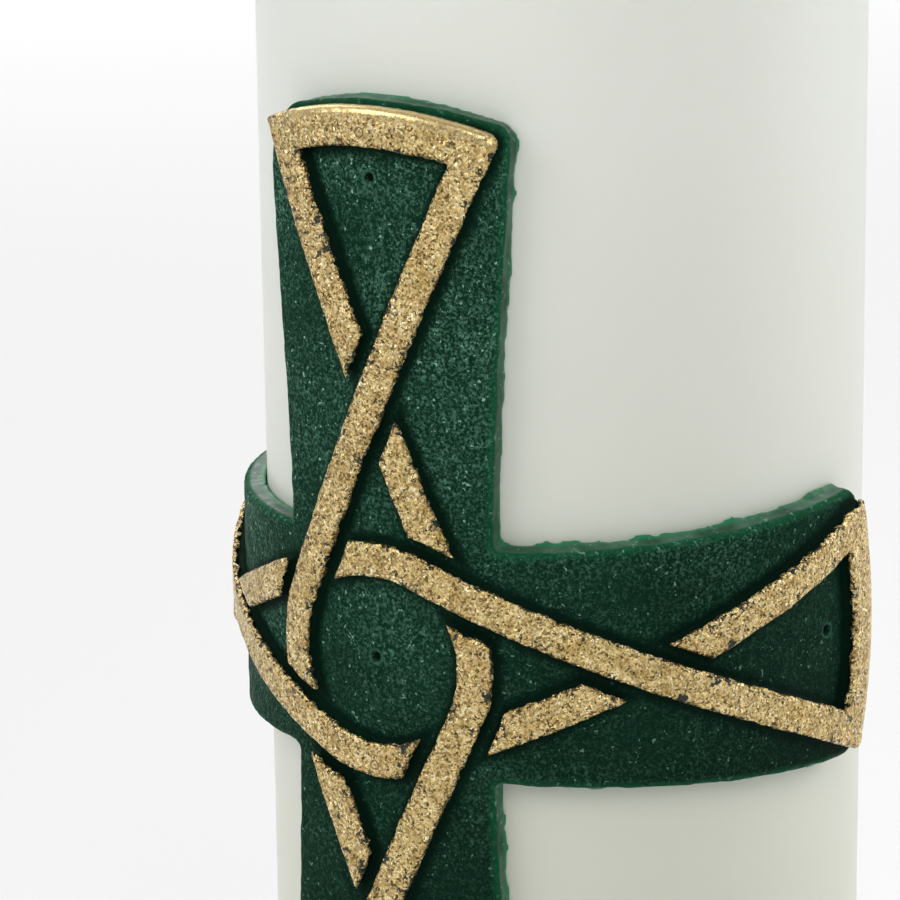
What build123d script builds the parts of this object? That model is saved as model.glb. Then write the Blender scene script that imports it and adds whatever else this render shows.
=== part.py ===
from build123d import *
import math
import os

# Unity candle: a white pillar with a raised green wax cross wrapped round its front.
# The cross carries an interlaced knot whose ridges are gilded on top.
# Millimetres. +Z is up, the candle stands on z = 0 and its axis is the Z axis.
# The middle of the cross faces -Y.

# ---------------------------------------------------------------- driving dimensions
candle_diameter = 80.0
candle_height = 250.0
base_round = 0.5               # rounding where the side meets the base
shoulder_radius = 3.0          # rounding where the side meets the top
crown_rise = 0.8               # how far the middle of the top stands above its edge
dip_skin = 1.5                 # thickness of the dipped outer layer of wax

wick_diameter = 2.8
wick_proud = 13.0              # free wick above the crown
wick_lean = 1.6                # sideways drift of the free end

tab_diameter = 20.0            # tinned steel tab that anchors the wick in the base
tab_thickness = 0.3
neck_diameter = 3.6
neck_height = 4.0

cross_height = 132.0           # height of the middle of the cross above the table
cross_reach = 71.2             # middle of the cross to the crown of each arm end
arm_waist = 15.0               # half-width of an arm where it leaves the middle
arm_flare = 17.75              # half-width of an arm at its end
adhesive_thickness = 0.15
adhesive_inset = 1.6           # how far the adhesive is kept back from the plaque's edge
plaque_thickness = 2.95
ridge_height = 1.65            # knot ridges above the face of the plaque
ridge_root = 0.2               # how deep the ridges are rooted in the plaque
gilt_thickness = 0.25          # gold coat on top of the ridges
corner_radius = 1.0            # where the arms of the cross meet
dimple_diameter = 1.2
dimple_depth = 0.35
dimple_reach = 61.4

strand_width = 4.28            # width of each strand of the knot
strand_gap = 2.07              # bare gap each side of a strand that passes over
strand_angle = 23.4            # degrees between a strand and the arm it runs along
ring_reach = 13.2              # nearest approach of a strand to the middle
ring_bend = 16.2               # bend radius of a strand round the middle
bar_reach = 70.4               # middle of the cross to the outside of an end bar
bar_radius = 47.8
bar_width = 4.9

# ---------------------------------------------------------------- derived radii
wax_radius = candle_diameter / 2
core_radius = wax_radius - dip_skin
adhesive_radius = wax_radius + adhesive_thickness
plaque_radius = adhesive_radius + plaque_thickness
ridge_radius = plaque_radius + ridge_height
gilt_radius = ridge_radius + gilt_thickness
# The flat pattern keeps its lengths at this radius when it is bent round the candle.
neutral_radius = 41.9
sheet = 300.0                  # side of a flat area larger than the whole cross


# ---------------------------------------------------------------- flat pattern
# Flat coordinates: x runs round the candle, y runs up it, both from the cross middle.
def quarter(shape, turns):
    """Turn a flat shape clockwise by whole quarter turns."""
    return Rot(0, 0, -90 * turns) * shape


def strand(turns, width):
    """One strand of the knot as a flat ribbon; turns 0, 1, 2, 3 = west, north, east, south."""
    slope = math.radians(strand_angle)
    centre_x = ring_bend - ring_reach
    run = 80.0                     # straight lengths that reach past the arm ends

    def edge(radius):
        """One long edge of the ribbon: straight, bend round the middle, straight."""
        leave_x = centre_x - radius * math.cos(slope)
        leave_y = radius * math.sin(slope)
        far_x = leave_x + run * math.sin(slope)
        far_y = leave_y + run * math.cos(slope)
        lower = Edge.make_line((far_x, -far_y), (leave_x, -leave_y))
        bend = Edge.make_three_point_arc(
            (leave_x, -leave_y), (centre_x - radius, 0), (leave_x, leave_y)
        )
        upper = Edge.make_line((leave_x, leave_y), (far_x, far_y))
        return [lower, bend, upper]

    outer = edge(ring_bend + width / 2)
    inner = edge(ring_bend - width / 2)
    lower_cap = Edge.make_line(outer[0] @ 0, inner[0] @ 0)
    upper_cap = Edge.make_line(outer[2] @ 1, inner[2] @ 1)
    return quarter(make_face(outer + inner + [lower_cap, upper_cap]), turns)


def half(side):
    """The upper (side = 1) or lower (side = -1) half of the flat pattern."""
    return Pos(0, sheet / 2 * side) * Rectangle(sheet, sheet)


def end_limit():
    """Disc whose upper edge is the outside of the upper end bar."""
    return Pos(0, bar_reach - bar_radius) * Circle(bar_radius)


def end_bar():
    """The curved bar that closes the knot at the end of the upper arm."""
    slope = math.radians(strand_angle)
    # Height at which the outer edges of the two strands would meet on the arm axis.
    axis_y = (ring_bend - (ring_bend - ring_reach) * math.cos(slope)) / math.sin(slope)
    apex_y = axis_y - strand_width / 2 / math.sin(slope)
    rise = 60.0                    # reaches past the arm end
    spread = rise * math.tan(slope)
    wedge = make_face(
        Polyline((0, apex_y), (spread, apex_y + rise), (-spread, apex_y + rise), (0, apex_y)).edges()
    )
    inside = Pos(0, bar_reach - bar_radius) * Circle(bar_radius - bar_width)
    return (end_limit() - inside) & wedge


def loop_outline():
    """Upper hook-shaped run: end bar, the strand passing over and the stub passing under."""
    clear = strand_width + 2 * strand_gap
    over = (strand(0, strand_width) - strand(3, clear)).faces().sort_by(Axis.Y)[-1]
    upper_half = strand(2, strand_width) - half(-1)
    stub = (upper_half - strand(0, clear)).faces().sort_by(Axis.Y)[-1]
    return ((Sketch() + over + stub) & end_limit()) + end_bar()


def link_outline():
    """Short strand between the ring and the crossing in the lower arm."""
    clear = strand_width + 2 * strand_gap
    cut = strand(0, strand_width) - strand(3, clear)
    cut = cut - (strand(2, clear) - half(1))
    return cut.faces().sort_by(Axis.Y)[1]


def plaque_outline():
    """Cross with four arms that flare towards rounded corners and bowed ends."""
    # Right-hand side of the upper arm, from the middle to the start of the corner.
    side = [(arm_waist, 0), (arm_waist, arm_waist), (15.7, 34), (16.3, 45), (17.3, 60)]
    side.append((arm_flare, 65.6))
    corner = [(arm_flare, 65.6), (arm_flare, 67.4), (16.6, 68.8)]
    end = [(16.6, 68.8), (0, cross_reach), (-16.6, 68.8)]
    arm = make_face([
        Edge.make_spline(side),
        Edge.make_three_point_arc(*corner),
        Edge.make_three_point_arc(*end),
        Edge.make_three_point_arc(*[(-x, y) for x, y in corner[::-1]]),
        Edge.make_spline([(-x, y) for x, y in side[::-1]]),
        Edge.make_line((-arm_waist, 0), (arm_waist, 0)),
    ])
    cross = Sketch()
    for turns in range(4):
        cross += quarter(arm, turns)
    inner_corners = [v for v in cross.vertices() if math.hypot(v.X, v.Y) < 1.5 * arm_waist]
    return fillet(inner_corners, corner_radius)


def adhesive_outline():
    """Plain cross of wax adhesive, kept back from the edge of the plaque."""
    wide = 2 * (arm_waist - adhesive_inset)
    long = 2 * (cross_reach - 2 * adhesive_inset)
    return Rectangle(wide, long) + Rectangle(long, wide)


# ---------------------------------------------------------------- rolling round the candle
def rolled(outline, inner, outer):
    """Solid between two radii whose walls follow a flat outline rolled round the candle."""
    box = outline.bounding_box()
    facing = (box.min.X + box.max.X) / 2 / neutral_radius
    outward = Vector(math.sin(facing), -math.cos(facing), 0)
    sideways = Vector(math.cos(facing), math.sin(facing), 0)
    view = Plane(origin=(0, 0, cross_height), x_dir=sideways, z_dir=outward)

    def seen(point):
        """Where a point of the flat pattern appears when the candle is viewed square-on."""
        angle = point.X / neutral_radius - facing
        return view.from_local_coords(Vector(inner * math.sin(angle), point.Y, 0))

    edges = []
    for edge in outline.outer_wire().edges():
        upright = abs((edge @ 0).X - (edge @ 1).X) < 0.001
        if edge.geom_type == GeomType.LINE and upright:
            edges.append(Edge.make_line(seen(edge @ 0), seen(edge @ 1)))
        else:
            steps = max(4, round(edge.length / 4))
            points = [seen(edge @ (step / steps)) for step in range(steps + 1)]
            edges.append(Edge.make_spline(points))
    pillar = Rot(0, 0, 90) * Cylinder(inner, 2 * candle_height)
    skin = Face(Wire(edges)).project_to_shape(pillar.solid(), outward)[0]
    return Solid.thicken(skin, outer - inner, normal_override=outward)


def rolled_cross(outline, inner, outer):
    """A cross too wide to roll at once: middle band, then the two side arms."""
    seam = arm_flare + 0.25        # just clear of the upper and lower arms
    middle = outline & Rectangle(2 * seam, sheet)
    right = outline & (Pos(seam + sheet / 2, 0) * Rectangle(sheet, sheet))
    left = outline & (Pos(-seam - sheet / 2, 0) * Rectangle(sheet, sheet))
    solid = rolled(middle.face(), inner, outer)
    for side in (right, left):
        solid = solid + rolled(side.face(), inner, outer)
    return solid.solid()


# ---------------------------------------------------------------- pieces
def turned(radius, top):
    """Pillar body turned about Z: square foot, straight side, rounded shoulder, crown."""
    edge_top = top - crown_rise
    side_top = edge_top - shoulder_radius
    in_x = radius - shoulder_radius
    slant = math.sqrt(0.5)
    crown_radius = (in_x ** 2 + crown_rise ** 2) / (2 * crown_rise)
    half_way = in_x / 2
    half_z = top - crown_radius + math.sqrt(crown_radius ** 2 - half_way ** 2)
    bottom = Polyline((0, 0), (radius, 0), (radius, side_top))
    shoulder = ThreePointArc(
        (radius, side_top),
        (in_x + shoulder_radius * slant, side_top + shoulder_radius * slant),
        (in_x, edge_top),
    )
    crown = ThreePointArc((in_x, edge_top), (half_way, half_z), (0, top))
    axis = Line((0, top), (0, 0))
    profile = make_face(bottom.edges() + shoulder.edges() + crown.edges() + axis.edges())
    return revolve(Plane.XZ * profile, Axis.Z)


def bore(diameter, bottom, top):
    """Upright round hole on the candle axis."""
    return Pos(0, 0, (bottom + top) / 2) * Cylinder(diameter / 2, top - bottom)


def make_wick():
    """Braided cotton wick: straight inside the wax, leaning slightly where it is free."""
    straight = Line((0, 0, 0), (0, 0, candle_height))
    free = Spline(
        (0, 0, candle_height),
        (wick_lean, 0.3 * wick_lean, candle_height + wick_proud),
        tangents=[(0, 0, 1), (0.25, 0.05, 1)],
    )
    return sweep(Circle(wick_diameter / 2), path=straight + free)


def make_tab():
    """Round steel tab, flush with the base, with a tube that grips the wick."""
    disc = bore(tab_diameter, 0, tab_thickness)
    neck = bore(neck_diameter, tab_thickness, tab_thickness + neck_height)
    return disc + neck - bore(wick_diameter, -1, neck_height + 1)


def ridge(outline, turns):
    """Wax ridge under one run of the knot, rooted a little way into the plaque."""
    return rolled(quarter(outline, turns).face(), plaque_radius - ridge_root, ridge_radius)


def make_plaque():
    """Green cross casting: face, knot ridges and the mould marks on its bare ground."""
    plaque = rolled_cross(plaque_outline(), adhesive_radius, plaque_radius)
    for turns in range(4):
        plaque += ridge(loop_outline(), turns)
        plaque += ridge(link_outline(), turns)
    marks = [(0, 0), (0, dimple_reach), (dimple_reach, 0), (0, -dimple_reach), (-dimple_reach, 0)]
    for across, up in marks:
        angle = across / neutral_radius
        outward = Vector(math.sin(angle), -math.cos(angle), 0)
        seat = Plane(origin=outward * plaque_radius + Vector(0, 0, cross_height + up), z_dir=outward)
        plaque -= seat * Cylinder(dimple_diameter / 2, 2 * dimple_depth)
    return plaque.solid()


def make_nodes():
    """Every separate piece of the candle, by name."""
    core_top = candle_height - dip_skin
    whole = turned(wax_radius, candle_height)
    whole = fillet(whole.edges().group_by(Axis.Z)[0], base_round)
    body = turned(core_radius, core_top)
    channel = bore(wick_diameter, -1, candle_height + 1)
    recess = bore(tab_diameter, -1, tab_thickness)
    socket = bore(neck_diameter, 0, tab_thickness + neck_height)
    nodes = {
        "core": body - channel - recess - socket,
        "overdip_shell": whole - body - channel,
        "wick": make_wick(),
        "wick_sustainer": make_tab(),
        "adhesive_film": rolled_cross(adhesive_outline(), wax_radius, adhesive_radius),
        "cross_plaque": make_plaque(),
    }
    # Each loop closes the arm it is named after; each link lies in the arm it is named after.
    for turns, arm in enumerate(["north", "east", "south", "west"]):
        loop = quarter(loop_outline(), turns).face()
        link = quarter(link_outline(), turns + 2).face()
        nodes["gilt_loop_" + arm] = rolled(loop, ridge_radius, gilt_radius)
        nodes["gilt_link_" + arm] = rolled(link, ridge_radius, gilt_radius)
    return nodes


os.makedirs("parts", exist_ok=True)
for name, shape in make_nodes().items():
    export_step(shape.solid(), "parts/" + name + ".step")
    size = shape.bounding_box().size
    print(name, len(shape.solids()), round(shape.volume / 1000, 3), "cm3", size)
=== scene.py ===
import math

import bpy
import numpy as np
from mathutils import Matrix, Vector


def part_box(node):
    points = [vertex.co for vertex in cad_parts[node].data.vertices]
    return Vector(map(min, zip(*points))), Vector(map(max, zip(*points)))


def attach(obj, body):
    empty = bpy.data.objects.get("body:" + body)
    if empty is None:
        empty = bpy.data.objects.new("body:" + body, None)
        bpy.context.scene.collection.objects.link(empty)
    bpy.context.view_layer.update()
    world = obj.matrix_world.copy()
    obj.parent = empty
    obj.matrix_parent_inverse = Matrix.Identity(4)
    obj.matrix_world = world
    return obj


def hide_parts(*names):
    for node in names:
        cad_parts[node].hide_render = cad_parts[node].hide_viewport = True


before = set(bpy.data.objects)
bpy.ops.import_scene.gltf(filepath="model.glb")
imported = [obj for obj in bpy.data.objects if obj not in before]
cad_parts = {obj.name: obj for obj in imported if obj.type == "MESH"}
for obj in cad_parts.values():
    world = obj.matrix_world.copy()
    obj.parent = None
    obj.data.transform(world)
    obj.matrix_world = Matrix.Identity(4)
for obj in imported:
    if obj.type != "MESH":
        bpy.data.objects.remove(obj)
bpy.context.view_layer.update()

# Lengths below are millimetres unless a name says metres; meshes are scaled by MM when they are made.
MM = 0.001

# ---------------------------------------------------------------- sizes read from the frame
plaque_low, plaque_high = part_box("cross_plaque")
gilt_low, gilt_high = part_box("gilt_loop_north")
skin_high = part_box("overdip_shell")[1]
film_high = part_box("adhesive_film")[1]
core_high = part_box("core")[1]
wick_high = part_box("wick")[1]
tab_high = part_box("wick_sustainer")[1]

WAX_RADIUS = skin_high.x / MM
WAX_TOP = skin_high.z / MM
CORE_RADIUS = core_high.x / MM
CORE_TOP = core_high.z / MM
CROSS_Z = (plaque_low.z + plaque_high.z) / 2 / MM
REACH = (plaque_high.z - plaque_low.z) / 2 / MM
GILT_TOP = -gilt_low.y / MM - WAX_RADIUS      # height of the gold above the wax
PLAQUE_FOOT = film_high.x / MM - WAX_RADIUS   # height of the back of the plaque above the wax
BAR_REACH = gilt_high.z / MM - CROSS_Z
TAB_RADIUS = tab_high.x / MM
TAB_TOP = tab_high.z / MM
WICK_TOP = wick_high.z / MM

# ---------------------------------------------------------------- sizes of the relief
FACE = 3.1             # height of the plaque's face above the wax
RIDGE_TOP = 4.5        # height of the green ridges under the gold
NEUTRAL_RADIUS = 41.9  # the flat pattern keeps its lengths at this radius
STRAND_WIDTH = 4.28
STRAND_GAP = 2.07      # clear space where one strand dips under another
STRAND_ANGLE = math.radians(23.4)   # lean of a strand from its arm's middle line
RING_REACH = 13.2      # middle of the cross to a strand's middle line at the ring
RING_BEND = 16.2       # bend of a strand's middle line round the ring
BAR_RADIUS = 47.8      # bend of a loop's end bar along its outer side
BAR_WIDTH = 4.9
WAIST = 15.0           # half-width of an arm near the middle
FLARE = 0.0112         # how an arm widens from there: FLARE * distance ** FLARE_POWER
FLARE_POWER = 1.4
END_RADIUS = 58.6      # bend of the outline across an arm's end
DIMPLE_REACH = 61.4    # middle of the cross to an arm's mould dimple
DIMPLE_RADIUS = 0.75
DIMPLE_DEPTH = 0.7
MARK_SHIFT = 0.6       # how far left of an arm's middle line the dimples and ring marks sit
END_CORNER = 2.0       # rounding of an arm's corners
LEFT_CORNER = 0.2      # rounding of a loop's two outer corners
RIGHT_CORNER = 1.3
CREST_ROUND = 0.45     # rounding along the top of a ridge
SHOULDER_ROUND = 0.5   # what the outer side of an end bar has on top of that
COAT = 0.36            # how far the gold's inner surface lies inside a run's nominal side
SPREAD = 0.12          # how far the brushed gold spreads past it
CAMERA_AZIMUTH = math.radians(32.73)


# ---------------------------------------------------------------- noise
def lattice_noise(x, y, z, cell, seed):
    """Smooth random field between -1 and 1, about one cell across; every use has its own seed."""
    count = 48
    origin = 1000.0
    table = np.random.default_rng(seed).uniform(-1, 1, (count, count, count))
    corners = []
    weights = []
    for axis in (x, y, z):
        scaled = np.asarray(axis, dtype=float) / cell + origin
        low = np.floor(scaled).astype(int)
        part = scaled - low
        corners.append((low % count, (low + 1) % count))
        weights.append(part * part * (3 - 2 * part))
    total = 0.0
    for i in (0, 1):
        wx = weights[0] if i else 1 - weights[0]
        for j in (0, 1):
            wy = weights[1] if j else 1 - weights[1]
            for k in (0, 1):
                wz = weights[2] if k else 1 - weights[2]
                total = total + wx * wy * wz * table[corners[0][i], corners[1][j], corners[2][k]]
    return total


# ---------------------------------------------------------------- signed distances
# Negative is inside. u runs round the candle, v runs up it, both from the middle of the cross.
def both(a, b, radius):
    """Overlap of two shapes with its outer corner rounded."""
    a = a + radius
    b = b + radius
    outside = np.hypot(np.maximum(a, 0), np.maximum(b, 0))
    return np.minimum(np.maximum(a, b), 0) + outside - radius


def either(a, b, radius):
    """Union of two shapes with its inner corner rounded."""
    return -both(-a, -b, radius)


def turned_back(u, v, turns):
    """Where a point of a shape that was turned clockwise by quarter turns came from."""
    for _ in range(turns % 4):
        u, v = -v, u
    return u, v


def strand_offset(u, v, turns):
    """Distance outwards from the middle line of a strand; turns 0 to 3 = west, north, east, south."""
    u, v = turned_back(u, v, turns)
    v = np.abs(v)
    centre_u = RING_BEND - RING_REACH
    sine = math.sin(STRAND_ANGLE)
    cosine = math.cos(STRAND_ANGLE)
    along = (u - centre_u) * sine + v * cosine
    straight = -(u - centre_u) * cosine + v * sine - RING_BEND
    bent = np.hypot(u - centre_u, v) - RING_BEND
    return np.where(along > 0, straight, bent)


def crossing_height():
    """How far up an arm its two strands cross."""
    centre_u = RING_BEND - RING_REACH
    return (RING_BEND - centre_u * math.cos(STRAND_ANGLE)) / math.sin(STRAND_ANGLE)


def ring_crossing():
    """How far left and up of the middle two neighbouring strands cross near the ring."""
    centre_u = RING_BEND - RING_REACH
    sine = math.sin(STRAND_ANGLE)
    cosine = math.cos(STRAND_ANGLE)
    return (RING_BEND - centre_u * cosine) / (sine + cosine)


def loop_distance(u, v, turns):
    """Hooked run of the knot: end bar, strand that passes over, stub of the one that passes under."""
    u, v = turned_back(u, v, turns)
    half = STRAND_WIDTH / 2
    west = strand_offset(u, v, 0)
    east = strand_offset(u, v, 2)
    south = strand_offset(u, v, 3)
    limit = np.hypot(u, v - BAR_REACH + BAR_RADIUS) - BAR_RADIUS
    over = np.maximum(np.abs(west) - half, half + STRAND_GAP - np.abs(south))
    over = np.maximum(over, -ring_crossing() - v)
    stub = np.maximum(np.abs(east) - half, half + STRAND_GAP - np.abs(west))
    stub = np.maximum(stub, crossing_height() - v)
    wedge = np.maximum(-half - west, -half - east)
    corner = np.where(u < 0, LEFT_CORNER, RIGHT_CORNER)
    bar = np.maximum(both(limit, wedge, corner), -BAR_WIDTH - limit)
    return np.minimum(both(np.minimum(over, stub), limit, corner), bar)


def bar_shoulder(u, v, turns):
    """1 along the outer side of the end bar, where the ridge is well rounded, and 0 elsewhere."""
    u, v = turned_back(u, v, turns)
    limit = np.hypot(u, v - BAR_REACH + BAR_RADIUS) - BAR_RADIUS
    fading = np.clip((u + 15.5) / 5.0, 0, 1) * np.clip((17.5 - u) / 3.0, 0, 1)
    return np.where(v > 0.75 * REACH, np.clip((limit + 1.7) / 1.2, 0, 1) * fading, 0)


def link_distance(u, v, turns):
    """Short run of the knot between the ring and the crossing in an arm."""
    u, v = turned_back(u, v, turns + 2)
    half = STRAND_WIDTH / 2
    west = np.abs(strand_offset(u, v, 0)) - half
    east = np.abs(strand_offset(u, v, 2)) - half
    south = np.abs(strand_offset(u, v, 3)) - half
    run = np.maximum(west, np.maximum(STRAND_GAP - south, STRAND_GAP - east))
    return np.maximum(run, np.maximum(v + ring_crossing(), -crossing_height() - v))


def knot_distance(u, v):
    """All eight runs of the knot."""
    nearest = loop_distance(u, v, 0)
    for turns in range(4):
        nearest = np.minimum(nearest, loop_distance(u, v, turns))
        nearest = np.minimum(nearest, link_distance(u, v, turns))
    return nearest


def arm_distance(u, v, left, right, left_corner):
    """One arm pointing up, with the middle; left and right widen its sides at the waist and at the tip."""
    along = np.clip((v - WAIST) / (REACH - WAIST), 0, 1)
    extra_left = left[0] + (left[1] - left[0]) * along
    extra_right = right[0] + (right[1] - right[0]) * along
    flare = FLARE * np.maximum(v - WAIST, 0) ** FLARE_POWER
    side = np.abs(u) - WAIST - flare - np.where(u < 0, extra_left, extra_right)
    end = np.hypot(u, v - REACH + END_RADIUS) - END_RADIUS
    corner = np.where(u < 0, left_corner, END_CORNER)
    return np.maximum(both(side, end, corner), -v - WAIST)


def cross_distance(u, v):
    """The outline of the plaque; no two of its sides were pressed on quite alike."""
    blunt_corner = 8.0
    inner_corner = 1.0
    north = arm_distance(u, v, (0.9, 2.3), (0.0, 0.0), blunt_corner)
    south = arm_distance(-u, -v, (0.0, 0.2), (0.7, 0.5), END_CORNER)
    west = arm_distance(v, -u, (0.0, 0.0), (0.2, -2.0), END_CORNER)
    east = arm_distance(-v, u, (0.1, 0.2), (0.0, 0.0), END_CORNER)
    return either(np.minimum(north, south), np.minimum(west, east), inner_corner)


def dimple_distance(u, v):
    """Distance to the middle of the nearest mould dimple in the green face."""
    nearest = np.hypot(u + 0.8, v)
    for turns in range(4):
        fu, fv = turned_back(u, v, turns)
        nearest = np.minimum(nearest, np.hypot(fu + MARK_SHIFT, fv - DIMPLE_REACH))
    return nearest


def mark_distance(u, v):
    """Distance to the nearest of the small round marks on the gold."""
    from_bar = 3.1
    nearest = np.hypot(u, v + RING_REACH + 0.6)
    for turns in range(4):
        fu, fv = turned_back(u, v, turns)
        nearest = np.minimum(nearest, np.hypot(fu + MARK_SHIFT, fv - BAR_REACH + from_bar))
    return nearest


# ---------------------------------------------------------------- meshes
OUTSIDE = 5.0          # value of a field where nothing is near


def columns(u, v, near, heights):
    """Coordinates of the samples above those points of the flat pattern that are near a shape."""
    un = np.repeat(u[near][:, None], len(heights), 1)
    vn = np.repeat(v[near][:, None], len(heights), 1)
    hn = np.repeat(heights[None, :], len(un), 0)
    return un, vn, hn


def surface_net(field, xs, ys, zs):
    """Closed mesh of quads along the zero level of a sampled field."""
    inside = field < 0
    corners = 0
    for i in (0, 1):
        for j in (0, 1):
            for k in (0, 1):
                corners = corners + shifted(inside, i, j, k).astype(int)
    cells = np.argwhere((corners > 0) & (corners < 8))
    number = np.full(corners.shape, -1)
    number[tuple(cells.T)] = np.arange(len(cells))

    grid = (xs, ys, zs)
    total = np.zeros((len(cells), 3))
    hits = np.zeros(len(cells))
    for axis in range(3):
        others = [a for a in range(3) if a != axis]
        for i in (0, 1):
            for j in (0, 1):
                start = cells.copy()
                start[:, others[0]] += i
                start[:, others[1]] += j
                stop = start.copy()
                stop[:, axis] += 1
                here = field[tuple(start.T)]
                there = field[tuple(stop.T)]
                crossed = (here < 0) != (there < 0)
                share = np.where(crossed, here / np.where(crossed, here - there, 1), 0)
                for a in range(3):
                    low = grid[a][start[:, a]]
                    high = grid[a][stop[:, a]]
                    total[:, a] += np.where(crossed, low + share * (high - low), 0)
                hits += crossed
    points = total / hits[:, None]

    quads = []
    for axis in range(3):
        others = [(axis + 1) % 3, (axis + 2) % 3]
        first = np.take(inside, range(inside.shape[axis] - 1), axis)
        second = np.take(inside, range(1, inside.shape[axis]), axis)
        edges = np.argwhere(first != second)
        edges = edges[(edges[:, others[0]] > 0) & (edges[:, others[1]] > 0)]
        keep = (edges[:, others[0]] < number.shape[others[0]])
        keep &= (edges[:, others[1]] < number.shape[others[1]])
        edges = edges[keep]
        ring = []
        for i, j in ((1, 1), (0, 1), (0, 0), (1, 0)):
            cell = edges.copy()
            cell[:, others[0]] -= i
            cell[:, others[1]] -= j
            ring.append(number[tuple(cell.T)])
        ring = np.stack(ring, 1)
        flip = ~inside[tuple(edges.T)]
        ring[flip] = ring[flip][:, ::-1]
        quads.append(ring)
    return points, np.concatenate(quads)


def shifted(array, i, j, k):
    """The samples at one corner of every cell."""
    nx, ny, nz = array.shape
    return array[i:nx - 1 + i, j:ny - 1 + j, k:nz - 1 + k]


def rolled(points):
    """Bend flat points (u, v, height above the wax) round the candle, in metres."""
    angle = points[:, 0] / NEUTRAL_RADIUS
    radius = WAX_RADIUS + points[:, 2]
    x = radius * np.sin(angle)
    y = -radius * np.cos(angle)
    return np.stack([x, y, CROSS_Z + points[:, 1]], 1) * MM


def mesh_object(name, points, faces):
    """Smooth-shaded object from numpy points in metres and faces of equal size."""
    data = bpy.data.meshes.new(name)
    count, size = faces.shape
    data.vertices.add(len(points))
    data.vertices.foreach_set("co", points.astype(np.float32).ravel())
    data.loops.add(count * size)
    data.loops.foreach_set("vertex_index", faces.astype(np.int32).ravel())
    data.polygons.add(count)
    data.polygons.foreach_set("loop_start", np.arange(0, count * size, size, dtype=np.int32))
    data.polygons.foreach_set("use_smooth", np.ones(count, dtype=bool))
    data.update(calc_edges=True)
    data.validate()
    made = bpy.data.objects.new(name, data)
    bpy.context.scene.collection.objects.link(made)
    return made


def paint(made, name, values):
    """Store one number per vertex for the materials to read."""
    attribute = made.data.attributes.new(name, "FLOAT", "POINT")
    attribute.data.foreach_set("value", values.astype(np.float32))


def dress(made, material, node):
    """Give a piece its material and its place on the candle."""
    made.data.materials.clear()
    made.data.materials.append(material)
    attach(made, "root")
    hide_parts(node)


# ---------------------------------------------------------------- the plaque
def plaque_mesh():
    """The green casting: slab with a ragged flash at its foot, ridges of the knot, mould dimples."""
    cell = 0.37
    layer = 0.34
    half = REACH + 1.0
    us = np.arange(-half, half + cell, cell)
    layers = np.arange(PLAQUE_FOOT + 0.1, RIDGE_TOP + 0.6, layer)
    heights = np.concatenate([[PLAQUE_FOOT - 0.2], layers])
    u, v = np.meshgrid(us, us, indexing="ij")
    outline = cross_distance(u, v)
    knot = knot_distance(u, v)
    near = outline < 1.2
    un, vn, hn = columns(u, v, near, heights)
    out = outline[near][:, None]
    run = knot[near][:, None]

    # Outer wall: leans out to a thin ragged flash at the foot, except at the tips of the arms.
    below = np.clip((FACE - hn) / (FACE - PLAQUE_FOOT), 0, 1)
    from_tip = np.clip((REACH - 1.5 - np.maximum(np.abs(un), np.abs(vn))) / 4.0, 0, 1)
    pressed = (0.45 + 0.3 * np.tanh(un / 20.0)) * from_tip
    lip = np.clip(1.25 - (hn - PLAQUE_FOOT) / 0.7, 0, 1)
    lump = 0.5 + lattice_noise(un, vn, 0 * hn, 3.1, 1) + 0.6 * lattice_noise(un, vn, 0 * hn, 1.2, 2)
    ragged = 0.13 * lattice_noise(un, vn, hn, 2.3, 3) + 0.06 * lattice_noise(un, vn, hn, 0.9, 9)
    wall = out + ragged + 0.15 - pressed * below - (0.05 + 0.45 * pressed) * np.maximum(lump, 0) * lip
    face = hn - FACE
    ripple = 0.09 * lattice_noise(un, vn, 0 * hn, 9.0, 4) + 0.04 * lattice_noise(un, vn, 0 * hn, 2.2, 5)
    grain = 0.05 * lattice_noise(un, vn, hn, 0.8, 6)
    slab = both(wall, face + ripple + grain, 0.8)

    # Ridges: steep walls with a little draft, standing on a small root fillet.
    draft = 0.34 * (RIDGE_TOP - hn)
    sides = run + COAT + 0.02 - draft + 0.06 * lattice_noise(un, vn, hn, 1.3, 7)
    crest = hn - RIDGE_TOP + 0.04 * lattice_noise(un, vn, hn, 1.0, 8)
    shoulder = sum(bar_shoulder(un, vn, turns) for turns in range(4))
    ridges = both(sides, crest, CREST_ROUND + SHOULDER_ROUND * shoulder)
    solid = either(slab, ridges, 0.25)

    # Mould marks.
    away = dimple_distance(un, vn)
    pit = np.maximum(away - DIMPLE_RADIUS + 0.5 * (FACE - hn), FACE - DIMPLE_DEPTH - hn)
    solid = both(solid, -pit, 0.1)

    field = np.full(u.shape + heights.shape, OUTSIDE)
    field[near] = np.maximum(solid, PLAQUE_FOOT - hn)
    return surface_net(field, us, us, heights)


def thin_out(made, where, share):
    """Merge triangles down to a share of their number, starting where the vertices are marked."""
    group = made.vertex_groups.new(name="hidden")
    group.add(np.flatnonzero(where).tolist(), 1.0, "REPLACE")
    modifier = made.modifiers.new("thin_out", "DECIMATE")
    modifier.ratio = share
    modifier.vertex_group = group.name
    modifier.vertex_group_factor = 10.0
    evaluated = made.evaluated_get(bpy.context.evaluated_depsgraph_get())
    thinned = bpy.data.meshes.new_from_object(evaluated)
    made.modifiers.clear()
    made.vertex_groups.clear()
    made.data = thinned


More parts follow.
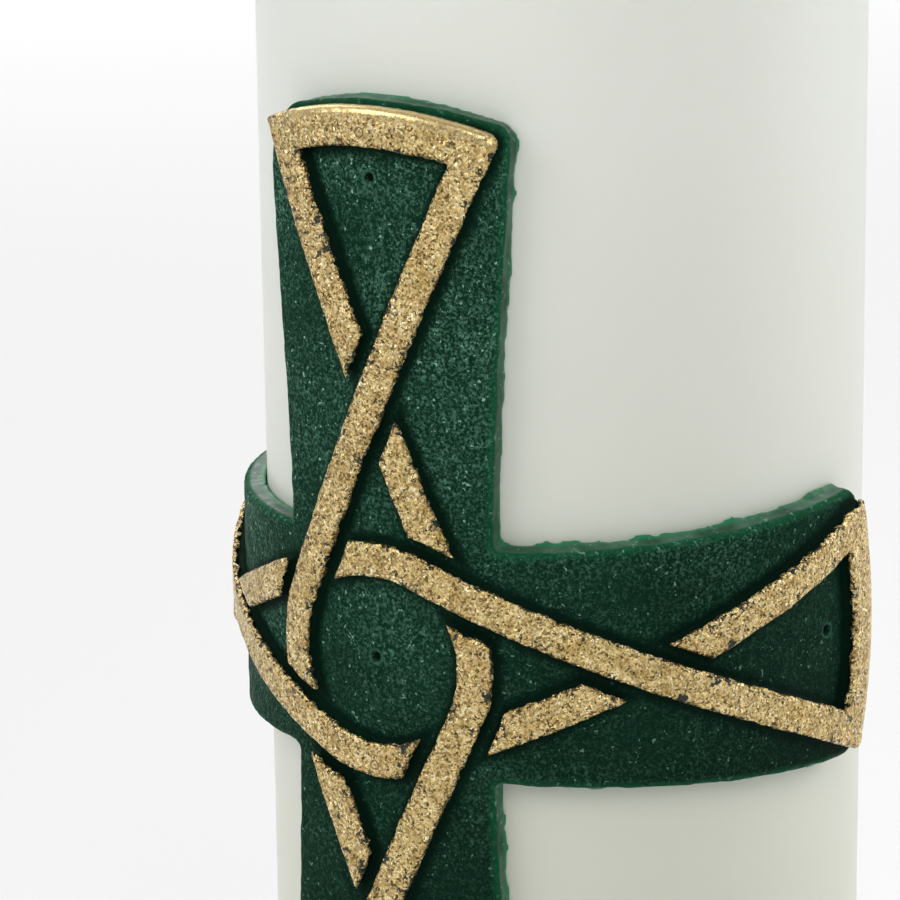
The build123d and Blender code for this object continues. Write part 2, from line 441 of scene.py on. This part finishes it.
def make_plaque(material):
    points, quads = plaque_mesh()
    made = mesh_object("cross_casting", rolled(points), quads)
    rim = -cross_distance(points[:, 0], points[:, 1])
    paint(made, "rim", rim)
    paint(made, "height", points[:, 2])
    paint(made, "knot", knot_distance(points[:, 0], points[:, 1]))
    paint(made, "dimple", dimple_distance(points[:, 0], points[:, 1]))
    # Painted light: a mask that is highest at the upper left and falls off downwards and to the right,
    # standing in for the light from the upper left; where it is low the face is darker and the bloom
    # thinner.
    paint(made, "painted_upper_left_light", np.clip(0.62 + points[:, 1] / 90 - points[:, 0] / 160, 0, 1))
    hidden_back = (points[:, 2] < PLAQUE_FOOT + 0.05) & (rim > 1.0)
    thin_out(made, hidden_back, 0.635)
    dress(made, material, "cross_plaque")


# ---------------------------------------------------------------- the gold
def gilt_mesh(distance, turns, seed):
    """The thin coat over one run of the knot."""
    cell = 0.21
    dips = 0.35            # how far the coat comes down a ridge's sides
    if distance is loop_distance:
        low, high = (-18.2, -8.0), (18.2, REACH)
    else:
        low, high = (0.0, 13.0), (12.0, 33.0)
    for _ in range(turns % 4):
        low, high = (low[1], -high[0]), (high[1], -low[0])
    us = np.arange(low[0], high[0] + cell, cell)
    vs = np.arange(low[1], high[1] + cell, cell)
    heights = np.arange(FACE - 0.5, GILT_TOP + 0.45, cell)
    u, v = np.meshgrid(us, vs, indexing="ij")
    run = distance(u, v, turns)
    near = run < 0.8
    un, vn, hn = columns(u, v, near, heights)
    run = run[near][:, None]

    # The end bar has a smooth, well rounded outer side; everything else is grainy with ragged edges.
    smooth = bar_shoulder(un, vn, turns)
    rough = 1 - 0.8 * smooth
    grain = 0.05 * lattice_noise(un, vn, hn, 0.5, seed)
    grain = grain + 0.05 * lattice_noise(un, vn, hn, 1.4, seed + 1)
    edge = 0.07 * lattice_noise(un, vn, hn, 0.50, seed + 2)
    edge = edge + 0.08 * lattice_noise(un, vn, hn, 1.2, seed + 5)
    edge = edge + 0.09 * lattice_noise(un, vn, hn, 2.6, seed + 3)
    crest = hn - GILT_TOP + 0.08 + grain * rough
    outer = both(run - SPREAD + edge * rough, crest, CREST_ROUND + 0.15 + SHOULDER_ROUND * smooth)
    inner = both(run + COAT, hn - RIDGE_TOP - 0.02, CREST_ROUND + SHOULDER_ROUND * smooth)
    # The gold stops a little way down the ridge walls, but covers the outside of the end bar.
    floor = RIDGE_TOP - dips + 0.4 * lattice_noise(un, vn, 0 * hn, 0.7, seed + 4)
    floor = floor * (1 - smooth) + (FACE + 0.1) * smooth
    field = np.full(u.shape + heights.shape, OUTSIDE)
    field[near] = np.maximum(np.maximum(outer, -inner), floor - hn)
    return surface_net(field, us, vs, heights)


def make_gilt(material):
    """Four loops and four links, each a coat of its own."""
    arms = ("north", "east", "south", "west")
    kinds = (("loop", loop_distance, 100), ("link", link_distance, 110))
    for turns, arm in enumerate(arms):
        for kind, distance, first_seed in kinds:
            seed = first_seed + 20 * turns
            points, quads = gilt_mesh(distance, turns, seed)
            name = "gilt_" + kind + "_" + arm
            made = mesh_object(name + "_coat", rolled(points), quads)
            paint(made, "edge", -distance(points[:, 0], points[:, 1], turns))
            paint(made, "smooth", bar_shoulder(points[:, 0], points[:, 1], turns))
            paint(made, "mark", mark_distance(points[:, 0], points[:, 1]))
            dress(made, material, name)


# ---------------------------------------------------------------- turned pieces
def lathe(name, profile, segments, wobble):
    """Closed ring of a profile of (radius, height) points, turned about the candle's axis."""
    profile = np.array(profile, float)
    angles = np.linspace(0, 2 * math.pi, segments, endpoint=False)
    radius = np.repeat(profile[:, 0][None], segments, 0)
    height = np.repeat(profile[:, 1][None], segments, 0)
    turn = np.repeat(angles[:, None], len(profile), 1)
    radius, height = wobble(radius, height, turn)
    x = radius * np.cos(turn)
    y = radius * np.sin(turn)
    points = np.stack([x, y, height], 2).reshape(-1, 3) * MM
    rows = len(profile)
    i, j = np.meshgrid(np.arange(segments), np.arange(rows), indexing="ij")
    a = i * rows + j
    b = ((i + 1) % segments) * rows + j
    c = ((i + 1) % segments) * rows + (j + 1) % rows
    d = i * rows + (j + 1) % rows
    faces = np.stack([a, b, c, d], 2).reshape(-1, 4)
    return mesh_object(name, points, faces)


def arc(centre, radius, start, stop, steps):
    """Points of an arc in a profile; angles in degrees from the radius direction."""
    angles = np.radians(np.linspace(start, stop, steps))
    return [(centre[0] + radius * math.cos(a), centre[1] + radius * math.sin(a)) for a in angles]


def make_skin(material):
    """Dipped outer wax: round shoulder, gently domed crown and a small meniscus at the wick."""
    shoulder = 3.0
    crown_rise = 0.8
    gap = 0.02             # between the skin and the core
    bore = 1.41            # radius of the hole for the wick
    foot_round = 0.5
    side_top = WAX_TOP - crown_rise - shoulder
    profile = arc((WAX_RADIUS - foot_round, foot_round), foot_round, -90, 0, 6)
    profile += [(WAX_RADIUS, z) for z in np.linspace(4, side_top - 1, 80)]
    profile += arc((WAX_RADIUS - shoulder, side_top), shoulder, 0, 88, 14)
    for r in np.linspace(WAX_RADIUS - shoulder - 0.5, 2.6, 34):
        profile.append((r, WAX_TOP - crown_rise * (r / (WAX_RADIUS - shoulder)) ** 2))
    meniscus = [(2.1, 0.10), (1.7, 0.35), (1.5, 0.62), (bore, 0.60)]
    profile += [(r, WAX_TOP + rise) for r, rise in meniscus]
    profile += [(bore, CORE_TOP + 0.4), (bore, CORE_TOP + gap)]
    for r in np.linspace(3, CORE_RADIUS - shoulder - 0.2, 12):
        profile.append((r, CORE_TOP + gap - crown_rise * (r / (CORE_RADIUS - shoulder)) ** 2))
    inner_top = CORE_TOP - crown_rise - shoulder
    profile += arc((CORE_RADIUS - shoulder, inner_top), shoulder + gap, 88, 0, 10)
    profile += [(CORE_RADIUS + gap, z) for z in np.linspace(inner_top - 1, 2, 12)]
    profile += [(CORE_RADIUS + gap, 0.0), (WAX_RADIUS - 0.9, 0.0)]

    def wobble(radius, height, turn):
        """Hand-finished wax is never quite true."""
        x = np.cos(turn) * WAX_RADIUS
        y = np.sin(turn) * WAX_RADIUS
        outside = (radius > WAX_RADIUS - 0.01) & (height > 1)
        swell = 0.05 * lattice_noise(x, y, height, 46.0, 21) - 0.05
        return radius + np.where(outside, swell, 0), height

    made = lathe("dipped_wax", profile, 288, wobble)
    dress(made, material, "overdip_shell")


def make_tab(material):
    """Pressed steel tab: stepped disc with a rolled rim and a neck crimped on to the wick."""
    thick = 0.3
    neck = 1.8
    top = TAB_TOP
    step_out = TAB_RADIUS - 1.9
    step_in = TAB_RADIUS - 3.2
    profile = [(1.42, 0.0), (step_in, 0.0), (step_in + 0.3, 0.06), (step_out - 0.3, 0.06)]
    profile += [(step_out, 0.0), (TAB_RADIUS - 0.25, 0.0)]
    profile += arc((TAB_RADIUS - 0.15, thick / 2), thick / 2, -90, 90, 7)
    profile += [(step_out + 0.3, thick), (step_out - 0.1, thick + 0.08)]
    profile += [(step_in + 0.1, thick + 0.08), (step_in - 0.3, thick)]
    profile += [(neck + 0.5, thick), (neck + 0.12, thick + 0.15), (neck, thick + 0.5)]
    profile += [(neck, z) for z in np.linspace(thick + 0.9, top - 0.3, 10)]
    profile += arc((neck - 0.12, top - 0.12), 0.12, 0, 180, 6)
    profile += [(1.44, z) for z in np.linspace(top - 0.3, thick + 0.3, 8)]

    def wobble(radius, height, turn):
        """Four flats pinched into the neck."""
        above_foot = np.clip((height - thick - 0.6) / 1.0, 0, 1)
        pinch = above_foot * np.clip((top - 0.2 - height) / 0.8, 0, 1)
        on_neck = radius < neck + 0.1
        squeeze = 0.14 * np.maximum(np.cos(4 * turn), 0) * pinch
        return np.where(on_neck, radius - squeeze, radius), height

    made = lathe("wick_tab", profile, 120, wobble)
    dress(made, material, "wick_sustainer")


# ---------------------------------------------------------------- the wick
def wick_axis(z):
    """Middle line of the wick: upright in the wax, leaning where it is free."""
    free = np.clip((z - WAX_TOP) / (WICK_TOP - WAX_TOP), 0, 1)
    lean = free * free * (1.6 + 1.4 * free) / 3.0
    return 1.6 * lean, 0.5 * lean


def ply_line(yarn, ply, z):
    """Middle line of one ply: its yarn weaves from side to side while the ply twists round it."""
    yarn_pitch = 5.2
    ply_pitch = 1.9
    ply_offset = 0.2
    phase = 2 * math.pi * (z / yarn_pitch + yarn / 3)
    twist = 2 * math.pi * z / ply_pitch + math.pi * ply
    open_up = 1 + 0.25 * np.clip((z - WICK_TOP + 2.0) / 2.0, 0, 1)
    lean_x, lean_y = wick_axis(z)
    x = lean_x + open_up * (0.62 * np.sin(phase) + ply_offset * np.cos(twist))
    y = lean_y + open_up * (0.34 * np.sin(2 * phase) + ply_offset * np.sin(twist))
    return np.stack([x, y, z], 1)


def make_wick(material):
    """Three plaited yarns of two plies each, ending in a blunt, slightly opened tip."""
    sides = 6
    step = 0.32
    points = []
    faces = []
    first = 0
    for strand in range(6):
        stop = WICK_TOP - 0.15 - 0.22 * (strand % 3)
        count = int(stop / step)
        line = ply_line(strand // 2, strand % 2, np.linspace(0.3, stop, count))
        ahead = np.gradient(line, axis=0)
        ahead /= np.linalg.norm(ahead, axis=1)[:, None]
        side = np.cross(ahead, [0.0, 1.0, 0.0])
        side /= np.linalg.norm(side, axis=1)[:, None]
        up = np.cross(side, ahead)
        thick = 0.36 * np.ones(count)
        thick[0] = 0.2
        thick[-2:] = (0.30, 0.16)
        for n in range(sides):
            a = 2 * math.pi * n / sides
            points.append(line + thick[:, None] * (math.cos(a) * side + math.sin(a) * up))
        ring = first + np.arange(sides) * count
        for n in range(sides):
            here = ring[n] + np.arange(count - 1)
            there = ring[(n + 1) % sides] + np.arange(count - 1)
            faces.append(np.stack([here, here + 1, there + 1, there], 1))
        # Each end is closed with two quads.
        for end in (ring[::-1], ring + count - 1):
            faces.append(end[[[0, 5, 4, 1], [1, 4, 3, 2]]])
        first += sides * count
    made = mesh_object("braided_wick", np.concatenate(points) * MM, np.concatenate(faces))
    dress(made, material, "wick")


# ---------------------------------------------------------------- materials
class Shader:
    """Small helper that builds a node material around one principled surface."""

    def __init__(self, name):
        self.material = bpy.data.materials.new(name)
        self.material.use_nodes = True
        self.tree = self.material.node_tree
        self.surface = self.tree.nodes["Principled BSDF"]
        self.place = self.tree.nodes.new("ShaderNodeTexCoord").outputs["Object"]

    def put(self, node, socket, value):
        target = node.inputs[socket]
        if isinstance(value, bpy.types.NodeSocket):
            self.tree.links.new(value, target)
        else:
            target.default_value = value

    def set(self, socket, value):
        self.put(self.surface, socket, value)

    def noise(self, size, detail=2.0, rough=0.5, stretch=(1, 1, 1), warp=0.0):
        """Noise with features about size millimetres across."""
        mapping = self.tree.nodes.new("ShaderNodeMapping")
        self.put(mapping, "Vector", self.place)
        self.put(mapping, "Scale", stretch)
        node = self.tree.nodes.new("ShaderNodeTexNoise")
        self.put(node, "Vector", mapping.outputs[0])
        self.put(node, "Scale", 1000.0 / size / 2)
        self.put(node, "Detail", detail)
        self.put(node, "Roughness", rough)
        self.put(node, "Distortion", warp)
        return node.outputs["Fac"]

    def noise_colour(self, size):
        """Noise with three independent channels, for warping a position."""
        node = self.tree.nodes.new("ShaderNodeTexNoise")
        self.put(node, "Vector", self.place)
        self.put(node, "Scale", 1000.0 / size / 2)
        return node.outputs["Color"]

    def cells(self, size, where):
        """Voronoi cells about size millimetres across, each of its own random colour."""
        node = self.tree.nodes.new("ShaderNodeTexVoronoi")
        self.put(node, "Vector", where)
        self.put(node, "Scale", 1000.0 / size)
        return node.outputs["Color"]

    def ramp(self, value, stops):
        """Colour ramp; stops are (position, colour) with a grey number or an rgb triple."""
        node = self.tree.nodes.new("ShaderNodeValToRGB")
        self.put(node, "Fac", value)
        elements = node.color_ramp.elements
        while len(elements) < len(stops):
            elements.new(0.5)
        for element, (position, colour) in zip(elements, stops):
            element.position = position
            if isinstance(colour, (int, float)):
                colour = (colour, colour, colour)
            element.color = (*colour, 1.0)
        return node.outputs["Color"]

    def mix(self, share, first, second, mode="MIX"):
        node = self.tree.nodes.new("ShaderNodeMix")
        node.data_type = "RGBA"
        node.blend_type = mode
        for socket, value in (("Factor", share), ("A", first), ("B", second)):
            target = [s for s in node.inputs if s.name == socket and s.enabled][0]
            if isinstance(value, bpy.types.NodeSocket):
                self.tree.links.new(value, target)
            elif socket == "Factor":
                target.default_value = value
            else:
                target.default_value = (*value, 1.0)
        return [s for s in node.outputs if s.enabled][0]

    def math(self, operation, first, second=0.0, third=0.0):
        node = self.tree.nodes.new("ShaderNodeMath")
        node.operation = operation
        for index, value in enumerate((first, second, third)):
            self.put(node, index, value)
        return node.outputs[0]

    def vector(self, operation, first, second=(0, 0, 0), scale=None):
        node = self.tree.nodes.new("ShaderNodeVectorMath")
        node.operation = operation
        self.put(node, 0, first)
        if scale is None:
            self.put(node, 1, second)
        else:
            self.put(node, "Scale", scale)
        return node.outputs[0]

    def attribute(self, name):
        node = self.tree.nodes.new("ShaderNodeAttribute")
        node.attribute_name = name
        return node.outputs["Fac"]

    def between(self, value, low, high):
        """0 below low, 1 above high, straight in between."""
        node = self.tree.nodes.new("ShaderNodeMapRange")
        self.put(node, "Value", value)
        self.put(node, "From Min", low)
        self.put(node, "From Max", high)
        return node.outputs[0]

    def bump(self, height, depth, strength=1.0, normal=None):
        """Relief of the given depth in millimetres."""
        node = self.tree.nodes.new("ShaderNodeBump")
        self.put(node, "Height", height)
        self.put(node, "Distance", depth * MM)
        self.put(node, "Strength", strength)
        if normal is not None:
            self.put(node, "Normal", normal)
        return node.outputs[0]


def white_wax():
    s = Shader("white_wax")
    cloud = s.noise(30.0, 2.0)
    # Painted shade: the wax is painted darker and warmer towards the bottom, standing in for the light
    # that falls off downwards.
    lit_top_tone = s.mix(cloud, (0.800, 0.822, 0.770), (0.815, 0.838, 0.792))
    shaded_bottom_tone = s.mix(cloud, (0.650, 0.668, 0.555), (0.670, 0.688, 0.577))
    split = s.tree.nodes.new("ShaderNodeSeparateXYZ")
    s.put(split, 0, s.place)
    s.set("Base Color", s.mix(s.between(split.outputs["Z"], 0.06, 0.20), shaded_bottom_tone, lit_top_tone))
    s.set("Subsurface Weight", 0.35)
    s.set("Subsurface Radius", (1.0, 0.95, 0.85))
    s.set("Subsurface Scale", 0.5 * MM)
    s.set("Roughness", s.math("ADD", 0.34, s.math("MULTIPLY", s.noise(6.0, 3.0), 0.12)))
    s.set("Coat Weight", 0.1)
    s.set("Coat Roughness", 0.25)
    s.set("Normal", s.bump(s.noise(7.0, 2.0), 0.02))
    return s.material


def core_wax():
    s = Shader("core_wax")
    s.set("Base Color", s.mix(s.noise(12.0, 3.0), (0.80, 0.80, 0.76), (0.86, 0.86, 0.82)))
    s.set("Subsurface Weight", 0.2)
    s.set("Subsurface Scale", 0.5 * MM)
    s.set("Roughness", s.math("ADD", 0.5, s.math("MULTIPLY", s.noise(2.0, 3.0), 0.2)))
    s.set("Normal", s.bump(s.noise(1.6, 3.0), 0.06))
    return s.material


def green_wax():
    s = Shader("green_wax")
    # Painted shade colour, used in the recesses and at the bottoms of the mould dimples.
    shade_green = (0.0010, 0.010, 0.0055)
    rim = s.attribute("rim")
    height = s.attribute("height")
    knot = s.attribute("knot")
    painted_upper_left_light = s.attribute("painted_upper_left_light")
    face = s.mix(s.noise(5.0, 3.0), (0.0021, 0.0185, 0.0095), (0.0043, 0.035, 0.0185))
    # Painted shade: the face is painted darker low on the right, where less light falls, and left lighter
    # high on the left.
    face = s.mix(s.between(painted_upper_left_light, 0.0, 0.7), s.mix(1.0, face, (0.45, 0.50, 0.48), "MULTIPLY"), face)
    # Pale bloom: fine specks everywhere on open faces, thicker in patches, and a few bright crumbs; they
    # also carry painted sheen.
    fine = s.between(s.noise(0.21, 3.0, 0.75), 0.46, 0.66)
    clumps = s.between(s.noise(0.55, 3.0, 0.6), 0.40, 0.66)
    patches = s.between(s.noise(9.0, 2.0), 0.34, 0.64)
    crumbs = s.between(s.noise(0.36, 2.0, 0.6), 0.664, 0.705)
    bloom_and_sheen = s.math("MULTIPLY", fine, s.math("MULTIPLY_ADD", clumps, 0.26, 0.18))
    bloom_and_sheen = s.math("MULTIPLY", bloom_and_sheen, s.math("MULTIPLY_ADD", patches, 0.7, 0.35))
    # Painted sheen: the bloom and the crumbs are painted stronger where the light mask is high, at the
    # upper left.
    bloom_and_sheen = s.math("MULTIPLY", bloom_and_sheen, s.math("MULTIPLY_ADD", painted_upper_left_light, 2.0, 0.0))
    crumbs = s.math("MULTIPLY", crumbs, s.math("MULTIPLY_ADD", painted_upper_left_light, 0.65, 0.25))
    bloom_and_sheen = s.math("MAXIMUM", bloom_and_sheen, crumbs)
    # Painted shade: the recesses beside the ridges are painted nearly black, standing in for the shade
    # that falls there; they are also clean of bloom and smooth.
    shaded_recess = s.between(s.math("ADD", knot, s.math("MULTIPLY", s.noise(1.0, 2.0), 0.8)), 1.9, 0.7)
    bloom_and_sheen = s.math("MULTIPLY", bloom_and_sheen, s.math("SUBTRACT", 1.0, shaded_recess))
    colour = s.mix(bloom_and_sheen, face, s.mix(crumbs, (0.16, 0.40, 0.27), (0.32, 0.56, 0.44)))
    colour = s.mix(s.math("MULTIPLY", shaded_recess, 0.85), colour, shade_green)
    # Painted shade and highlight: the bottom of a mould dimple is painted dark, as shade, and its lip a
    # little brighter, as a painted highlight.
    dimple = s.attribute("dimple")
    colour = s.mix(s.between(dimple, DIMPLE_RADIUS, 0.45), colour, shade_green)
    lip = s.between(s.math("ABSOLUTE", s.math("SUBTRACT", dimple, 0.95)), 0.22, 0.08)
    colour = s.mix(s.math("MULTIPLY", lip, 0.35), colour, (0.05, 0.17, 0.11))
    # Painted light: thin edges are painted a brighter green, standing in for light shining through the
    # thin wax, with pale specks along them.
    uneven = s.math("MULTIPLY", s.noise(1.4, 2.0), 0.9)
    edge = s.between(s.math("ADD", rim, uneven), 1.50, 0.35)
    colour = s.mix(s.math("MULTIPLY", edge, 0.75), colour, (0.006, 0.100, 0.040))
    # The slab's outer wall is painted in streaks of dark and paler grey-green; the paler streaks are
    # painted sheen.
    side = s.between(height, 2.45, 2.05)
    sheen_streaks = s.between(s.noise(2.2, 3.0), 0.40, 0.65)
    wall = s.mix(sheen_streaks, (0.004, 0.050, 0.022), (0.040, 0.125, 0.075))
    colour = s.mix(side, colour, wall)
    # Painted light: the ragged flash at the foot is painted a bright green, standing in for light shining
    # through the thin wax.
    foot = s.between(height, 1.1, 0.6)
    colour = s.mix(s.math("MULTIPLY", foot, 0.9), colour, (0.014, 0.19, 0.075))
    # Pale specks along the edges: frost with painted glints.
    frost_and_glints = s.math("MULTIPLY", s.between(s.noise(0.5, 3.0, 0.7), 0.60, 0.68), edge)
    colour = s.mix(s.math("MULTIPLY", frost_and_glints, 0.5), colour, (0.30, 0.52, 0.40))
    s.set("Base Color", colour)
    roughness = s.math("MULTIPLY_ADD", s.noise(1.2, 2.0), 0.4, 0.40)
    s.set("Roughness", s.math("SUBTRACT", roughness, s.math("MULTIPLY", side, 0.25)))
    s.set("Specular IOR Level", s.math("MULTIPLY_ADD", side, 0.24, 0.03))
    strength = s.math("MULTIPLY_ADD", s.math("MAXIMUM", side, shaded_recess), -0.7, 1.0)
    coarse = s.bump(s.noise(0.9, 3.0, 0.6), 0.22, strength)
    s.set("Normal", s.bump(s.noise(0.30, 2.0, 0.6), 0.12, strength, normal=coarse))
    return s.material


def gold():
    s = Shader("gold_flake")
    flake_size = 0.27
    smooth = s.attribute("smooth")
    mark = s.attribute("mark")
    calm = s.math("MAXIMUM", smooth, s.math("MULTIPLY", s.between(mark, 1.0, 0.75), 0.8))
    rough = s.math("SUBTRACT", 1.0, s.math("MULTIPLY", calm, 0.9))
    flakes = s.tree.nodes.new("ShaderNodeSeparateColor")
    warp = s.vector("ADD", s.place, s.vector("SCALE", s.noise_colour(0.6), scale=0.00030))
    s.put(flakes, 0, s.cells(flake_size, where=warp))
    # Each flake gets a random tone; the near-black and near-white ends of the ramp are painted dark facets
    # and glints, on top of the tilted flake normals.
    colour = s.ramp(flakes.outputs["Red"], [
        (0.00, (0.13, 0.085, 0.028)), (0.12, (0.40, 0.28, 0.105)), (0.50, (0.72, 0.54, 0.225)),
        (0.86, (0.95, 0.76, 0.39)), (1.00, (1.0, 0.93, 0.66))])
    tint = s.ramp(s.noise(1.1, 3.0, 0.6), [(0.35, (0.76, 0.69, 0.58)), (0.60, (1.0, 1.0, 1.0))])
    colour = s.mix(1.0, colour, tint, "MULTIPLY")
    colour = s.mix(s.math("MULTIPLY", calm, 0.75), colour, (0.78, 0.60, 0.29))
    # Dark flecks where the gold missed the wax, most of them close to the edges.
    near_edge = s.between(s.attribute("edge"), 1.1, 0.0)
    flecks = s.math("ADD", s.noise(0.50, 3.0, 0.7, warp=0.8), s.math("MULTIPLY", near_edge, 0.075))
    clusters = s.math("MULTIPLY", s.between(s.noise(3.0, 2.0), 0.45, 0.65), 0.045)
    pits = s.between(s.math("ADD", flecks, clusters), 0.636, 0.664)
    pits = s.math("MULTIPLY", pits, rough)
    ring = s.between(s.math("ABSOLUTE", s.math("SUBTRACT", mark, 0.58)), 0.17, 0.05)
    dot = s.between(mark, 0.25, 0.10)
    ring = s.math("MAXIMUM", ring, dot)
    colour = s.mix(s.math("MULTIPLY", ring, 0.75), colour, (0.16, 0.10, 0.04))
    s.set("Base Color", s.mix(pits, colour, (0.008, 0.016, 0.008)))
    s.set("Metallic", s.math("MULTIPLY_ADD", pits, -0.9, 0.95))
    s.set("Roughness", s.math("MULTIPLY_ADD", s.noise(0.4, 2.0), 0.22, 0.16))
    geometry = s.tree.nodes.new("ShaderNodeNewGeometry")
    flake = s.vector("SUBTRACT", s.cells(flake_size, where=warp), (0.5, 0.5, 0.5))
    flake = s.vector("SCALE", flake, scale=s.math("MULTIPLY", rough, 0.85))
    tilted = s.vector("NORMALIZE", s.vector("ADD", geometry.outputs["Normal"], flake))
    folds = s.bump(s.noise(0.62, 4.0, 0.62, warp=1.4), 0.36, rough, normal=tilted)
    dents = s.math("SUBTRACT", s.math("MULTIPLY", pits, -1.0), ring)
    s.set("Normal", s.bump(dents, 0.12, normal=folds))
    return s.material


def cotton():
    s = Shader("wick_cotton")
    s.set("Base Color", s.mix(s.noise(0.4, 3.0), (0.62, 0.58, 0.48), (0.86, 0.84, 0.76)))
    s.set("Roughness", s.math("MULTIPLY_ADD", s.noise(0.3, 2.0), 0.3, 0.6))
    s.set("Sheen Weight", 0.3)
    s.set("Normal", s.bump(s.noise(0.16, 3.0, stretch=(1, 1, 0.25)), 0.05))
    return s.material


def tinned_steel():
    s = Shader("tinned_steel")
    s.set("Metallic", 1.0)
    s.set("Base Color", s.mix(s.noise(1.5, 3.0), (0.52, 0.53, 0.54), (0.70, 0.71, 0.72)))
    s.set("Roughness", s.math("MULTIPLY_ADD", s.noise(0.8, 3.0), 0.25, 0.22))
    s.set("Normal", s.bump(s.noise(0.5, 2.0), 0.01))
    return s.material


def adhesive():
    s = Shader("wax_adhesive")
    s.set("Base Color", s.mix(s.noise(2.0, 3.0), (0.55, 0.52, 0.40), (0.70, 0.67, 0.55)))
    s.set("Roughness", s.math("MULTIPLY_ADD", s.noise(1.0, 2.0), 0.2, 0.3))
    s.set("Normal", s.bump(s.noise(1.2, 2.0), 0.03))
    return s.material


# ---------------------------------------------------------------- stage
def make_floor():
    size = 8.0
    points = np.array([(-size, -size, 0), (size, -size, 0), (size, size, 0), (-size, size, 0)])
    made = mesh_object("floor", points, np.array([[0, 1, 2, 3]]))
    s = Shader("floor_white")
    s.set("Base Color", (0.76, 0.76, 0.76, 1))
    s.set("Roughness", 0.8)
    made.data.materials.append(s.material)


def area_light(name, place, aim, size, watts, colour=(1, 1, 1)):
    data = bpy.data.lights.new(name, "AREA")
    data.shape = "RECTANGLE"
    data.size, data.size_y = size
    data.energy = watts
    data.color = colour
    made = bpy.data.objects.new(name, data)
    made.location = place
    made.rotation_euler = (Vector(aim) - Vector(place)).to_track_quat("-Z", "Y").to_euler()
    bpy.context.scene.collection.objects.link(made)


def seen_from_camera(right, towards, up):
    """A point given in metres to the right of the candle, towards the camera and above the floor."""
    sine = math.sin(CAMERA_AZIMUTH)
    cosine = math.cos(CAMERA_AZIMUTH)
    return (right * cosine + towards * sine, right * sine - towards * cosine, up)


def make_lights():
    """Bright sweep behind, soft boxes left, in front and right, and a dim room behind the camera."""
    world = bpy.data.worlds.new("studio")
    world.use_nodes = True
    tree = world.node_tree
    background = tree.nodes["Background"]
    background.inputs["Color"].default_value = (1.0, 1.0, 1.0, 1)
    direction = tree.nodes.new("ShaderNodeTexCoord")
    facing = tree.nodes.new("ShaderNodeVectorMath")
    facing.operation = "DOT_PRODUCT"
    facing.inputs[1].default_value = seen_from_camera(0, 1, 0)
    tree.links.new(direction.outputs["Generated"], facing.inputs[0])
    strength = tree.nodes.new("ShaderNodeMapRange")
    fade = {"From Min": -0.3, "From Max": 0.9, "To Min": 0.55, "To Max": 0.10}
    for socket, value in fade.items():
        strength.inputs[socket].default_value = value
    tree.links.new(facing.outputs["Value"], strength.inputs["Value"])
    tree.links.new(strength.outputs[0], background.inputs["Strength"])
    bpy.context.scene.world = world

    middle = (0, 0, CROSS_Z * MM)
    top = (0, 0, 0.22)
    warm = (1.0, 0.985, 0.95)
    area_light("key", seen_from_camera(-0.60, 0.24, 0.62), top, (0.55, 0.55), 2.3)
    area_light("front", seen_from_camera(0.08, 0.42, 0.52), top, (0.35, 0.35), 1.3, warm)
    area_light("side", seen_from_camera(0.80, -0.30, 0.52), middle, (0.4, 0.6), 3.05)
    above_sweep = seen_from_camera(-0.3, -2.7, 2.2)
    area_light("sweep", above_sweep, seen_from_camera(0, -2.5, 0), (3.2, 3.2), 86.0)


def make_camera():
    """Long lens, a little above the cross, looking from its right-hand side."""
    distance = 493.7
    rise = 140.65
    azimuth = CAMERA_AZIMUTH
    # The camera's own axes before it goes round to its azimuth.
    right = Vector((0.99953, 0.02791, -0.01271))
    down = Vector((-0.00561, -0.24124, -0.97045))
    ahead = Vector((-0.03015, 0.97006, -0.24097))
    turn = Matrix.Rotation(azimuth, 3, "Z")
    axes = [turn @ right, turn @ -down, turn @ -ahead]
    data = bpy.data.cameras.new("camera")
    data.sensor_width = 36.0
    data.lens = 151.21
    data.clip_start = 0.01
    made = bpy.data.objects.new("camera", data)
    pose = Matrix(axes).transposed().to_4x4()
    place = Vector((distance * math.sin(azimuth), -distance * math.cos(azimuth), CROSS_Z + rise))
    pose.translation = place * MM
    made.matrix_world = pose
    bpy.context.scene.collection.objects.link(made)
    bpy.context.scene.camera = made


# ---------------------------------------------------------------- build
make_skin(white_wax())
make_plaque(green_wax())
make_gilt(gold())
make_wick(cotton())
make_tab(tinned_steel())
for node, material in (("core", core_wax()), ("adhesive_film", adhesive())):
    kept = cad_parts[node]
    kept.data.materials.clear()
    kept.data.materials.append(material)
make_floor()
make_lights()
make_camera()
bpy.context.scene.view_settings.view_transform = "Standard"
